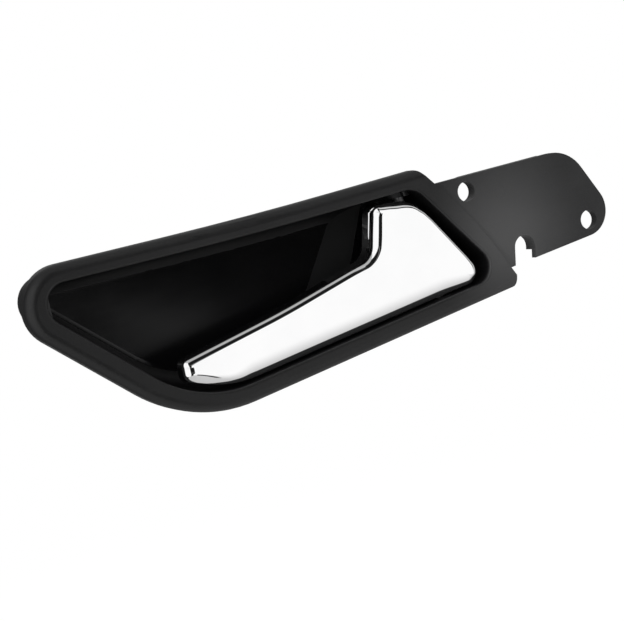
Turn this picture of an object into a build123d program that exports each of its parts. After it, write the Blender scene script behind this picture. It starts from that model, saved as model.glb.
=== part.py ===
"""Car interior door handle: black bezel and finger bowl, chrome pull lever, hinge and cable arm.

X runs along the handle towards the screw flange, Y into the door, Z up. The origin lies midway
between the two screw holes, on the front plane of the bezel. All sizes are millimetres.
"""
import os
from math import atan2, copysign, cos, degrees, hypot, radians, sin, sqrt, tan

from build123d import *

os.makedirs("parts", exist_ok=True)

# Screw flange
SCREW_SPAN = 45.0
SCREW_DROP = 20.0
SCREW_HOLE_R = 3.25
FLANGE_T = 2.2
FLANGE_STEP = 0.5
FLANGE_TOP = 15.05
FLANGE_END_SLOPE = -61.5
FLANGE_END = 27.9
FLANGE_LOW = -16.2
FLANGE_LOW_SLOPE = 4.7
FLANGE_TOP_ROUND = 13.5
FLANGE_END_ROUND = 8.7
INNER_BOSS_R = 5.0
INNER_BOSS_DEPTH = 4.4
OUTER_BOSS_R = 5.0
OUTER_BOSS_DEPTH = 3.4
NOTCH_W = 8.0
NOTCH_LEAN = 11.0
NOTCH_X = -4.6
NOTCH_Z = -12.8
NOTCH_BOSS_DEPTH = 6.0
NOTCH_BOSS_WALL = 1.6
NOTCH_BOSS_LENGTH = 1.0
FLANGE_RIB_T = 1.4
FLANGE_RIB_DEPTH = 4.2

# Bezel round the finger bowl
BEZEL_T = 2.2
SKIRT_DEPTH = 6.0
RIM_ROUND = 3.2
RIM_EDGE_ROUND = 0.8
BEZEL_TOP = 19.75
BEZEL_TOP_X = -98.0
BEZEL_TOP_FALL = -0.95
BEZEL_TOP_RISE = 1.2
BEZEL_TOP_ROUND = 1600.0
BEZEL_LENGTH = 136.1
BEZEL_SLANT_Z = -12.9
BEZEL_SLANT = -43.5
BEZEL_TIP_ROUND = 12.3
BEZEL_BOTTOM_X = -80.6
BEZEL_BOTTOM = -32.2
BEZEL_BOTTOM_SLOPE = 6.05
BEZEL_BOTTOM_ROUND = 46.0
BEZEL_END_X = -21.5
BEZEL_END_Z = 0.4
BEZEL_END_HIGH = -50.2
BEZEL_END_LOW = -62.1
BEZEL_END_ROUND = 120.0
BEZEL_CORNER_ROUND = 3.0
BEZEL_RIB_T = 1.4
BEZEL_RIB_STEP = 22.0

# Finger bowl
RIM_TOP = 5.4
RIM_SLANT = 6.8
RIM_BOTTOM = 5.9
OPENING_END_X = -29.4
OPENING_END = -52.3
OPENING_END_ROUND = 8.0
OPENING_LOW_ROUND = 6.0
BOWL_DEPTH = 21.6
BOWL_STEP_DEPTH = 18.6
BOWL_STEP_X = -70.0
BOWL_STEP_RUN = 11.0
BOWL_STEP_LEAN = 65.0
BOWL_WALL = 2.0
BOWL_END_DROP = 0.161
BOWL_FLOOR_ROUND = 6.0

# Pull lever
LEVER_FRONT = 1.2
LEVER_BACK = 9.4
LEVER_BACK_X = -50.0
LEVER_BACK_SLOPE = 1.9
LEVER_WALL = 1.8
LEVER_ROLL = 6.0
LEVER_ROLL_DROP = 1.9
LEVER_EDGE_ROUND = 2.0
LEVER_TIP_GAP = 9.85
LEVER_TIP_HEIGHT = 6.2
LEVER_TIP_ROUND = 2.8
LEVER_UNDER_SLOPE = -20.6
LEVER_UNDER_ROUND = 40.0
LEVER_BOTTOM_GAP = 0.95
LEVER_END_GAP = 3.6
LEVER_END = -56.0
LEVER_CORNER_ROUND = 4.2
PAD_TOP_X = -50.0
PAD_TOP = 12.75
PAD_TOP_SLOPE = -5.0
PAD_END_ROUND = 12.0
PAD_SIDE_X = -58.2
PAD_SIDE = 75.0
PAD_CORNER_ROUND = 2.8
PAD_FOOT_ROUND = 6.5
ARM_TOP_X = -95.0
ARM_TOP = -10.6
ARM_TOP_LEFT = 10.2
ARM_TOP_RIGHT = 13.2
ARM_TOP_ROUND = 300.0

# Hinge
AXIS_X = -40.35
AXIS_DEPTH = 7.5
AXIS_Z = -4.0
AXIS_TILT = 12.2
PIN_R = 1.75
RUNNING_GAP = 0.05
BUSH_WALL = 1.1
BUSH_RECESS = 0.4
BOSS_WALL = 1.4
BOSS_REACH = 1.9
BOSS_REACH_LOW = 0.2
KNUCKLE_R = 3.2
KNUCKLE_LOW = -11.8
KNUCKLE_LOW_TOP = -4.6
KNUCKLE_HIGH = 2.2
KNUCKLE_HIGH_TOP = 4.6

# Cable arm and its slot
CABLE_ARM_W = 5.0
CABLE_ARM_T = 5.0
CABLE_ARM_AT = -8.8
CABLE_ARM_REACH = 22.0
WIRE_SLOT = 2.0
WIRE_SLOT_DEPTH = 6.5
OPEN_ANGLE = 32.0
BUFFER_T = 2.0
BUFFER_LIP = 1.2
STOP_GAP = 0.3
SLOT_SIDE_GAP = 1.5
BRACKET_AT = 19.2
BRACKET_T = 2.6
BRACKET_W = 13.0
SHEATH_W = 5.2

# Tongue behind the far end
TONGUE_W = 8.0
TONGUE_T = 2.4
TONGUE_GAP = 2.6
TONGUE_INSET = 3.0

# Return spring
SPRING_WIRE_R = 0.5
SPRING_R = 3.0
SPRING_TURNS = 4.25
SPRING_END_GAP = 0.25
SPRING_LEG = 10.0
SPRING_POST_T = 2.0

# Lever carrier and screws
FIT_GAP = 0.2
CARRIER_T = 2.6
CARRIER_INSET = 0.6
CARRIER_SCREW_R = 1.25
SCREW_HEAD_R = 2.4
SCREW_HEAD_T = 1.1
SCREW_BOSS_R = 2.9
ARM_SCREW_INSET = 17.7
MID_SCREW_X = -82.0
PAD_SCREW_X = -51.0


def meet(first, second):
    """Crossing point of two edge lines, each given as (x, z, angle)."""
    x1, z1, a1 = first
    x2, z2, a2 = second
    dx1, dz1 = cos(radians(a1)), sin(radians(a1))
    dx2, dz2 = cos(radians(a2)), sin(radians(a2))
    along = ((x2 - x1) * dz2 - (z2 - z1) * dx2) / (dx1 * dz2 - dz1 * dx2)
    return (x1 + along * dx1, z1 + along * dz1)


def beside(edge, distance):
    """The same edge line moved sideways, to the left of its direction."""
    x, z, angle = edge
    return (x - distance * sin(radians(angle)), z + distance * cos(radians(angle)), angle)


def height_on(edge, x):
    """Height of an edge line at a place along the handle."""
    return edge[1] + (x - edge[0]) * tan(radians(edge[2]))


def cross(first, second):
    """Sine of the turn from one edge line to another."""
    return sin(radians(second[2] - first[2]))


def grown(points, radii, grow):
    """Corners and radii of an outline whose sides are moved outwards by grow."""
    ahead = points[1:] + points[:1]
    sides = [
        (start[0], start[1], degrees(atan2(end[1] - start[1], end[0] - start[0])))
        for start, end in zip(points, ahead)
    ]
    area = sum(start[0] * end[1] - end[0] * start[1] for start, end in zip(points, ahead))
    way = copysign(1.0, area)
    moved = [beside(side, -grow * way) for side in sides]
    before = moved[-1:] + moved[:-1]
    corners = [meet(first, second) for first, second in zip(before, moved)]
    rounds = [
        max(radius + copysign(grow, grow * way * cross(first, second)), 0.0) if radius else 0.0
        for radius, first, second in zip(radii, before, moved)
    ]
    return corners, rounds


def outline(points, radii, depth=0.0, grow=0.0):
    """A closed rounded outline on the front plane, moved back by depth and grown or shrunk."""
    corners, rounds = grown(points, radii, grow)
    with BuildSketch(Plane.XZ.offset(-depth)) as face:
        with BuildLine():
            FilletPolyline(*corners, radius=rounds, close=True)
        make_face()
    return face.sketch


# Edge lines of the bezel, as (x, z, angle)
bezel_top_left = (BEZEL_TOP_X, BEZEL_TOP, BEZEL_TOP_FALL)
bezel_top_right = (BEZEL_TOP_X, BEZEL_TOP, BEZEL_TOP_RISE)
bezel_slant = (BEZEL_END_X - BEZEL_LENGTH, BEZEL_SLANT_Z, BEZEL_SLANT)
bezel_bottom = (BEZEL_BOTTOM_X, BEZEL_BOTTOM, BEZEL_BOTTOM_SLOPE)
bezel_end_high = (BEZEL_END_X, BEZEL_END_Z, BEZEL_END_HIGH)
bezel_end_low = (BEZEL_END_X, BEZEL_END_Z, BEZEL_END_LOW)
bezel_long_end = (SCREW_SPAN, 0.0, 90.0)

bezel_left_points = [
    meet(bezel_top_right, bezel_top_left),
    meet(bezel_top_left, bezel_slant),
    meet(bezel_slant, bezel_bottom),
]
bezel_left_radii = [BEZEL_TOP_ROUND, BEZEL_TIP_ROUND, BEZEL_BOTTOM_ROUND]
bezel_end_points = [
    meet(bezel_bottom, bezel_end_low),
    meet(bezel_end_low, bezel_end_high),
    meet(bezel_end_high, bezel_top_right),
]
bezel_end_radii = [0.0, BEZEL_END_ROUND, 0.0]
long_end_points = [meet(bezel_bottom, bezel_long_end), meet(bezel_long_end, bezel_top_right)]
long_end_radii = [RIM_ROUND * 2, RIM_ROUND * 2]
trim_points = bezel_end_points + [
    (BEZEL_TOP_X, BEZEL_TOP + BEZEL_CORNER_ROUND),
    (BEZEL_END_X - BEZEL_LENGTH * 2, BEZEL_TOP * 4),
    (BEZEL_END_X - BEZEL_LENGTH * 2, BEZEL_BOTTOM * 4),
    (bezel_end_points[0][0], BEZEL_BOTTOM * 4),
]
trim_radii = [0.0, BEZEL_END_ROUND, BEZEL_CORNER_ROUND, 0.0, 0.0, 0.0, 0.0]

# Edge lines of the bowl's opening
opening_top_left = beside(bezel_top_left, -RIM_TOP)
opening_top_right = beside(bezel_top_right, -RIM_TOP)
opening_slant = beside(bezel_slant, RIM_SLANT)
opening_bottom = beside(bezel_bottom, RIM_BOTTOM)
opening_end = (OPENING_END_X, BEZEL_END_Z, OPENING_END)
opening_points = [
    meet(opening_top_right, opening_top_left),
    meet(opening_top_left, opening_slant),
    meet(opening_slant, opening_bottom),
    meet(opening_bottom, opening_end),
    meet(opening_end, opening_top_right),
]
opening_radii = [
    BEZEL_TOP_ROUND,
    BEZEL_TIP_ROUND - RIM_SLANT + RIM_EDGE_ROUND,
    BEZEL_BOTTOM_ROUND - RIM_SLANT,
    OPENING_LOW_ROUND,
    OPENING_END_ROUND,
]

# Edge lines of the lever
lever_bottom = beside(opening_bottom, LEVER_BOTTOM_GAP)
lever_end = beside(opening_end, -LEVER_END_GAP)[:2] + (LEVER_END,)
pad_top = (PAD_TOP_X, PAD_TOP, PAD_TOP_SLOPE)
pad_side = (PAD_SIDE_X, PAD_TOP / 2, PAD_SIDE)
arm_top_left = (ARM_TOP_X, ARM_TOP, ARM_TOP_LEFT)
arm_top_right = (ARM_TOP_X, ARM_TOP, ARM_TOP_RIGHT)
lever_tip_x = meet(arm_top_left, opening_slant)[0] + LEVER_TIP_GAP
lever_tip = (lever_tip_x, height_on(arm_top_left, lever_tip_x), 90.0)
lever_under = (lever_tip_x, lever_tip[1] - LEVER_TIP_HEIGHT, LEVER_UNDER_SLOPE)
lever_points = [
    meet(arm_top_left, lever_tip),
    meet(lever_tip, lever_under),
    meet(lever_under, lever_bottom),
    meet(lever_bottom, lever_end),
    meet(lever_end, pad_top),
    meet(pad_top, pad_side),
    meet(pad_side, arm_top_right),
    meet(arm_top_right, arm_top_left),
]
lever_radii = [
    LEVER_TIP_ROUND,
    LEVER_TIP_ROUND,
    LEVER_UNDER_ROUND,
    LEVER_CORNER_ROUND,
    PAD_END_ROUND,
    PAD_CORNER_ROUND,
    PAD_FOOT_ROUND,
    ARM_TOP_ROUND,
]

# Hinge frame: local x across the axis towards the flange, y into the door, z up along the axis
hinge = Plane(
    origin=(AXIS_X, AXIS_DEPTH, AXIS_Z),
    x_dir=(cos(radians(AXIS_TILT)), 0, sin(radians(AXIS_TILT))),
    z_dir=(-sin(radians(AXIS_TILT)), 0, cos(radians(AXIS_TILT))),
)
hinge_line = (AXIS_X, AXIS_Z, 90.0 + AXIS_TILT)
bush_outer_r = PIN_R + RUNNING_GAP + BUSH_WALL
boss_r = bush_outer_r + BOSS_WALL
axis_scale = cos(radians(AXIS_TILT))
axis_sine = sin(radians(AXIS_TILT))
top_wall_z = meet(hinge_line, opening_top_right)[1]
low_wall_z = meet(hinge_line, opening_bottom)[1]
top_wall_at = (top_wall_z - AXIS_Z) / axis_scale
low_wall_at = (low_wall_z - AXIS_Z) / axis_scale
low_lean = radians(AXIS_TILT - BEZEL_BOTTOM_SLOPE)
bush_top_in = top_wall_at - BOSS_REACH / axis_scale + bush_outer_r * axis_sine / axis_scale
bush_top_out = top_wall_at + BOWL_WALL
bush_low_in = low_wall_at + BOSS_REACH_LOW - boss_r * tan(low_lean)
bush_low_out = low_wall_at - BOWL_WALL - BOSS_REACH_LOW
pin_top = bush_top_out - BUSH_RECESS
pin_low = bush_low_out + BUSH_RECESS

# Swing of the cable arm through the slot in the shallow floor
floor_near = BOWL_STEP_DEPTH - AXIS_DEPTH
floor_far = floor_near + BOWL_WALL
open_sin = sin(radians(OPEN_ANGLE))
open_cos = cos(radians(OPEN_ANGLE))
arm_reach_open = (floor_far + BUFFER_LIP + CABLE_ARM_W / 2 * open_sin) / open_cos
travel_face = -(CABLE_ARM_W / 2 * open_cos + arm_reach_open * open_sin) - STOP_GAP
rest_face = CABLE_ARM_W / 2 + STOP_GAP
slot_half = CABLE_ARM_T / 2 + SLOT_SIDE_GAP

# Places of the screw holes
inner_hole = (-SCREW_SPAN / 2, SCREW_DROP / 2)
outer_hole = (SCREW_SPAN / 2, -SCREW_DROP / 2)

# Screw flange outline
flange_top = (0.0, FLANGE_TOP, 0.0)
flange_end = (FLANGE_END, 0.0, FLANGE_END_SLOPE)
flange_low = (outer_hole[0] / 2, FLANGE_LOW, FLANGE_LOW_SLOPE)
flange_root_x = meet(bezel_end_high, flange_top)[0] - BEZEL_T
flange_points = [
    (flange_root_x, FLANGE_TOP),
    (flange_root_x, height_on(flange_low, flange_root_x)),
    meet(flange_low, flange_end),
    meet(flange_end, flange_top),
]
flange_radii = [0.0, 0.0, FLANGE_END_ROUND, FLANGE_TOP_ROUND]
flange_back = FLANGE_STEP + FLANGE_T

# Bowl: a straight-walled pocket whose rounded floor falls away from the level of a step under the pad
step_plane = Plane(
    origin=(BOWL_STEP_X, 0, 0),
    x_dir=(sin(radians(BOWL_STEP_LEAN)), 0, -cos(radians(BOWL_STEP_LEAN))),
    z_dir=(cos(radians(BOWL_STEP_LEAN)), 0, sin(radians(BOWL_STEP_LEAN))),
)
step_reach = BOWL_DEPTH * 4
floor_fall = atan2(BOWL_DEPTH - BOWL_STEP_DEPTH - BOWL_END_DROP, OPENING_END_X - BOWL_STEP_X)


def bowl_block(grow, extra):
    """The bowl's space grown by a wall, with its step; extra is added to every depth."""
    deep = BOWL_DEPTH + extra
    shallow = BOWL_STEP_DEPTH + extra
    steep = (deep - shallow) / BOWL_STEP_RUN
    floor_plane = Plane(
        origin=(BOWL_STEP_X, deep, 0),
        x_dir=(0, 0, 1),
        z_dir=(sin(floor_fall), cos(floor_fall), 0),
    )
    with BuildPart() as block:
        extrude(outline(opening_points, opening_radii, grow=grow), amount=-deep * 2)
        split(bisect_by=floor_plane, keep=Keep.BOTTOM)
        fillet(block.faces().sort_by(Axis.Y)[-1].edges(), BOWL_FLOOR_ROUND + grow)
        with BuildSketch(step_plane):
            with BuildLine():
                Polyline(
                    (-BOWL_STEP_RUN, deep + step_reach),
                    (-BOWL_STEP_RUN, deep + steep * BOWL_STEP_RUN),
                    (BOWL_STEP_RUN, shallow),
                    (step_reach, shallow),
                    (step_reach, deep + step_reach),
                    close=True,
                )
            make_face()
        extrude(amount=step_reach, both=True, mode=Mode.SUBTRACT)
    return block.part


# Lever: its outline cut by a section with a flat front and a rolled lower edge
roll_plane = Plane(
    origin=(lever_bottom[0], 0, lever_bottom[1]),
    x_dir=(0, 1, 0),
    z_dir=(cos(radians(BEZEL_BOTTOM_SLOPE)), 0, sin(radians(BEZEL_BOTTOM_SLOPE))),
)
back_tilt = radians(LEVER_BACK_SLOPE)
lever_back_plane = Plane(
    origin=(LEVER_BACK_X, LEVER_BACK, 0),
    x_dir=(0, 0, 1),
    z_dir=(-sin(back_tilt), cos(back_tilt), 0),
)
section_reach = LEVER_BACK * 20
roll_r = (LEVER_ROLL**2 + LEVER_ROLL_DROP**2) / (2 * LEVER_ROLL_DROP)


def lever_block(inset, back_inset, edge_round):
    """The lever's outside shape drawn in by an inset, ending short of its back by back_inset."""
    near = LEVER_FRONT + inset
    low = LEVER_FRONT + roll_r - sqrt((roll_r - inset) ** 2 - (LEVER_ROLL - inset) ** 2)
    with BuildPart() as block:
        extrude(outline(lever_points, lever_radii, depth=near, grow=-inset), amount=-LEVER_BACK * 2)
        if edge_round:
            fillet(block.faces().sort_by(Axis.Y)[0].edges(), edge_round)
        with BuildSketch(roll_plane):
            with BuildLine():
                bend = RadiusArc((low, inset), (near, LEVER_ROLL), roll_r - inset)
                Polyline(
                    bend @ 1,
                    (near, section_reach),
                    (section_reach, section_reach),
                    (section_reach, inset),
                    bend @ 0,
                )
            make_face()
        extrude(amount=section_reach, both=True, mode=Mode.INTERSECT)
        split(bisect_by=lever_back_plane.offset(-back_inset), keep=Keep.BOTTOM)
    return block.part


spring_low = KNUCKLE_LOW_TOP + SPRING_END_GAP + SPRING_WIRE_R
spring_high = KNUCKLE_HIGH - SPRING_END_GAP - SPRING_WIRE_R
spring_pitch = (spring_high - spring_low) / SPRING_TURNS
buffer_half = slot_half - FIT_GAP
skin_back = LEVER_FRONT + LEVER_WALL
arm_screw_x = lever_tip_x + ARM_SCREW_INSET
screw_places = [
    (arm_screw_x, (height_on(arm_top_left, arm_screw_x) + height_on(lever_bottom, arm_screw_x)) / 2),
    (MID_SCREW_X, (height_on(arm_top_right, MID_SCREW_X) + height_on(lever_bottom, MID_SCREW_X)) / 2),
    (PAD_SCREW_X, PAD_TOP / 3),
]


def carrier_front_at(x):
    """Depth of the carrier plate's front at a place along the handle."""
    return LEVER_BACK + (x - LEVER_BACK_X) * tan(back_tilt) - CARRIER_INSET - CARRIER_T


def screw_seat_at(x):
    """Depth of the flat seat under a screw head."""
    return carrier_front_at(x) + CARRIER_T / 2


tip_centre = (
    meet(beside(bezel_top_left, -BEZEL_TIP_ROUND), beside(bezel_slant, BEZEL_TIP_ROUND))
)
tongue_end_x = tip_centre[0] - BEZEL_TIP_ROUND + TONGUE_INSET


with BuildPart() as high_boss:
    # Upper hinge boss, cut level so that it clears the lever's top
    with BuildSketch(hinge.offset(bush_top_in - boss_r)):
        Circle(boss_r)
    extrude(amount=bush_top_out - bush_top_in + boss_r)
    split(bisect_by=Plane.XY.offset(top_wall_z - BOSS_REACH), keep=Keep.TOP)

with BuildPart() as low_boss:
    # Lower hinge boss, cut along the bowl's lower wall
    with BuildSketch(hinge.offset(bush_low_out)):
        Circle(boss_r)
    extrude(amount=bush_low_in - bush_low_out + boss_r)
    low_cut = beside(opening_bottom, BOSS_REACH_LOW)
    split(
        bisect_by=Plane(
            origin=(low_cut[0], 0, low_cut[1]),
            x_dir=(0, 1, 0),
            z_dir=(-sin(radians(BEZEL_BOTTOM_SLOPE)), 0, cos(radians(BEZEL_BOTTOM_SLOPE))),
        ),
        keep=Keep.BOTTOM,
    )

with BuildPart() as housing:
    # Bezel with its rounded outer edge, cut off at the flange end
    extrude(outline(bezel_left_points + long_end_points, bezel_left_radii + long_end_radii), amount=-SKIRT_DEPTH)
    fillet(housing.faces().sort_by(Axis.Y)[0].edges(), RIM_ROUND)
    extrude(outline(trim_points, trim_radii), amount=-SKIRT_DEPTH, mode=Mode.INTERSECT)
    # Hollow behind the bezel's face
    extrude(
        outline(
            bezel_left_points + bezel_end_points,
            bezel_left_radii + bezel_end_radii,
            depth=BEZEL_T,
            grow=-BEZEL_T,
        ),
        amount=-SKIRT_DEPTH,
        mode=Mode.SUBTRACT,
    )
    # Screw flange, set back a little from the bezel's face
    extrude(outline(flange_points, flange_radii, depth=FLANGE_STEP), amount=-FLANGE_T)
    # Bosses behind the screw holes
    with BuildSketch(Plane.XZ.offset(-FLANGE_STEP)):
        with Locations(inner_hole):
            Circle(INNER_BOSS_R)
    extrude(amount=-(INNER_BOSS_DEPTH - FLANGE_STEP))
    with BuildSketch(Plane.XZ.offset(-FLANGE_STEP)):
        with Locations(outer_hole):
            Circle(OUTER_BOSS_R)
    extrude(amount=-(OUTER_BOSS_DEPTH - FLANGE_STEP))
    # Stiffening ribs behind the flange, one between the bosses and one along the top
    with BuildSketch(Plane.XZ.offset(-FLANGE_STEP)):
        with Locations(Location((0, 0, 0), (0, 0, -degrees(atan2(SCREW_DROP, SCREW_SPAN))))):
            Rectangle(hypot(SCREW_SPAN, SCREW_DROP), FLANGE_RIB_T)
        with Locations((inner_hole[0], FLANGE_TOP)):
            Rectangle(SCREW_SPAN * 0.7, FLANGE_RIB_T, align=(Align.MIN, Align.MAX))
    extrude(amount=-(FLANGE_RIB_DEPTH - FLANGE_STEP))
    # Short webs between the bowl's wall and the bezel's top skirt
    with BuildSketch(Plane.XZ.offset(-BEZEL_T / 2)):
        with Locations((BEZEL_TOP_X, BEZEL_TOP - RIM_TOP + BOWL_WALL * 0.8)):
            with GridLocations(BEZEL_RIB_STEP, 1.0, 5, 1):
                Rectangle(BEZEL_RIB_T, RIM_TOP - BOWL_WALL, align=(Align.CENTER, Align.MIN))
    extrude(amount=-(SKIRT_DEPTH - BEZEL_T))
    # Bowl walls and their space
    add(bowl_block(BOWL_WALL, BOWL_WALL))
    add(bowl_block(0.0, 0.0), mode=Mode.SUBTRACT)
    # Softened front edge of the opening
    front = housing.faces().filter_by(Axis.Y).sort_by(Axis.Y)[0]
    fillet(front.inner_wires()[0].edges(), RIM_EDGE_ROUND)
    # Slot screw notch in the flange's lower edge, with a short boss behind it
    notch_place = Location((NOTCH_X, NOTCH_Z, 0), (0, 0, -NOTCH_LEAN))
    with BuildSketch(Plane.XZ.offset(-FLANGE_STEP)):
        with Locations(notch_place):
            Circle(NOTCH_W / 2 + NOTCH_BOSS_WALL)
        with Locations(notch_place * Pos(0, -NOTCH_BOSS_LENGTH)):
            Rectangle(NOTCH_W * 2, NOTCH_W * 2, align=(Align.CENTER, Align.MIN), mode=Mode.INTERSECT)
    extrude(amount=-(NOTCH_BOSS_DEPTH - FLANGE_STEP))
    with BuildSketch(Plane.XZ):
        with Locations(notch_place):
            Circle(NOTCH_W / 2)
            Rectangle(NOTCH_W, NOTCH_W * 2, align=(Align.CENTER, Align.MAX))
    extrude(amount=-NOTCH_BOSS_DEPTH, mode=Mode.SUBTRACT)
    # Screw holes
    with BuildSketch(Plane.XZ):
        with Locations(inner_hole, outer_hole):
            Circle(SCREW_HOLE_R)
    extrude(amount=-INNER_BOSS_DEPTH, mode=Mode.SUBTRACT)
    # Hinge bosses, their bush bores and the way in for the pin
    add(high_boss.part)
    add(low_boss.part)
    with BuildSketch(hinge.offset(bush_top_in - boss_r)):
        Circle(bush_outer_r)
    extrude(amount=bush_top_out - bush_top_in + boss_r, mode=Mode.SUBTRACT)
    with BuildSketch(hinge.offset(bush_low_out)):
        Circle(bush_outer_r)
    extrude(amount=bush_low_in - bush_low_out + boss_r, mode=Mode.SUBTRACT)
    with BuildSketch(hinge.offset(bush_low_out)):
        Circle(PIN_R + FIT_GAP * 2)
    extrude(amount=-RIM_BOTTOM * 2, mode=Mode.SUBTRACT)
    # Slot for the cable arm in the shallow floor
    with BuildSketch(hinge.offset(CABLE_ARM_AT - slot_half)):
        with Locations((travel_face - BUFFER_T, floor_near - BOWL_WALL)):
            Rectangle(
                rest_face - travel_face + 2 * BUFFER_T,
                3 * BOWL_WALL,
                align=(Align.MIN, Align.MIN),
            )
    extrude(amount=2 * slot_half, mode=Mode.SUBTRACT)
    # Post that the spring's leg leans on
    with BuildSketch(hinge.offset(spring_low - SPRING_POST_T / 2)):
        with Locations((SPRING_R - SPRING_WIRE_R - STOP_GAP, floor_near + BOWL_WALL / 2)):
            Rectangle(SPRING_POST_T, SPRING_LEG / 3, align=(Align.MAX, Align.MAX))
    extrude(amount=SPRING_POST_T)
    # Bracket that holds the end of the cable's sheath
    with BuildSketch(hinge.offset(CABLE_ARM_AT - BRACKET_W / 2)):
        with Locations((BRACKET_AT, FLANGE_STEP + FLANGE_T / 2 - AXIS_DEPTH)):
            Rectangle(
                BRACKET_T,
                CABLE_ARM_REACH + AXIS_DEPTH - FLANGE_STEP,
                align=(Align.MIN, Align.MIN),
            )
    extrude(amount=BRACKET_W)
    with BuildSketch(hinge.offset(CABLE_ARM_AT - SHEATH_W / 2)):
        with Locations((BRACKET_AT - BRACKET_T / 2, CABLE_ARM_REACH - WIRE_SLOT_DEPTH)):
            Rectangle(2 * BRACKET_T, 2 * WIRE_SLOT_DEPTH, align=(Align.MIN, Align.MIN))
    extrude(amount=SHEATH_W, mode=Mode.SUBTRACT)
    # Tongue at the far end that hooks behind the door trim
    with BuildSketch(Plane.XZ.offset(-(SKIRT_DEPTH + TONGUE_GAP))):
        with Locations((tongue_end_x, tip_centre[1])):
            Rectangle(RIM_SLANT, TONGUE_W, align=(Align.MIN, Align.CENTER))
    extrude(amount=-TONGUE_T)
housing.part.label = "housing"
export_step(housing.part, "parts/housing.step")

with BuildPart() as hinge_bush_upper:
    with BuildSketch(hinge.offset(bush_top_in)):
        Circle(bush_outer_r)
        Circle(PIN_R + RUNNING_GAP, mode=Mode.SUBTRACT)
    extrude(amount=bush_top_out - bush_top_in)
hinge_bush_upper.part.label = "hinge_bush_upper"
export_step(hinge_bush_upper.part, "parts/hinge_bush_upper.step")

with BuildPart() as hinge_bush_lower:
    with BuildSketch(hinge.offset(bush_low_out)):
        Circle(bush_outer_r)
        Circle(PIN_R + RUNNING_GAP, mode=Mode.SUBTRACT)
    extrude(amount=bush_low_in - bush_low_out)
hinge_bush_lower.part.label = "hinge_bush_lower"
export_step(hinge_bush_lower.part, "parts/hinge_bush_lower.step")

with BuildPart() as rest_buffer:
    # Rubber channel over the floor's edge at the closed end of the slot
    with BuildSketch(hinge.offset(CABLE_ARM_AT - buffer_half)):
        with BuildLine():
            Polyline(
                (rest_face, floor_near - BUFFER_LIP),
                (rest_face + 2 * BUFFER_T, floor_near - BUFFER_LIP),
                (rest_face + 2 * BUFFER_T, floor_near),
                (rest_face + BUFFER_T, floor_near),
                (rest_face + BUFFER_T, floor_far),
                (rest_face + 2 * BUFFER_T, floor_far),
                (rest_face + 2 * BUFFER_T, floor_far + BUFFER_LIP),
                (rest_face, floor_far + BUFFER_LIP),
                close=True,
            )
        make_face()
    extrude(amount=2 * buffer_half)
rest_buffer.part.label = "rest_buffer"
export_step(rest_buffer.part, "parts/rest_buffer.step")

with BuildPart() as travel_buffer:
    # Rubber channel over the floor's edge at the open end of the slot
    with BuildSketch(hinge.offset(CABLE_ARM_AT - buffer_half)):
        with BuildLine():
            Polyline(
                (travel_face, floor_near - BUFFER_LIP),
                (travel_face - 2 * BUFFER_T, floor_near - BUFFER_LIP),
                (travel_face - 2 * BUFFER_T, floor_near),
                (travel_face - BUFFER_T, floor_near),
                (travel_face - BUFFER_T, floor_far),
                (travel_face - 2 * BUFFER_T, floor_far),
                (travel_face - 2 * BUFFER_T, floor_far + BUFFER_LIP),
                (travel_face, floor_far + BUFFER_LIP),
                close=True,
            )
        make_face()
    extrude(amount=2 * buffer_half)
travel_buffer.part.label = "travel_buffer"
export_step(travel_buffer.part, "parts/travel_buffer.step")

with BuildPart() as lever_shell:
    add(lever_block(0.0, 0.0, LEVER_EDGE_ROUND))
    add(lever_block(LEVER_WALL, -LEVER_WALL, 0.0), mode=Mode.SUBTRACT)
    # Bosses for the carrier's screws
    for x, z in screw_places:
        with BuildSketch(Plane.XZ.offset(-(skin_back - LEVER_WALL / 2))):
            with Locations((x, z)):
                Circle(SCREW_BOSS_R)
        extrude(amount=-(carrier_front_at(x) - FIT_GAP - skin_back + LEVER_WALL / 2))
        with BuildSketch(Plane.XZ.offset(-(skin_back + FIT_GAP))):
            with Locations((x, z)):
                Circle(CARRIER_SCREW_R)
        extrude(amount=-LEVER_BACK, mode=Mode.SUBTRACT)
    # Open slots in the side walls for the hinge pin
    with BuildSketch(hinge.offset(pin_low)):
        Circle(PIN_R + FIT_GAP)
        Rectangle(2 * (PIN_R + FIT_GAP), LEVER_BACK, align=(Align.CENTER, Align.MIN))
    extrude(amount=pin_top - pin_low, mode=Mode.SUBTRACT)
lever_shell.part.label = "lever_shell"
export_step(lever_shell.part, "parts/lever_shell.step")

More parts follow.
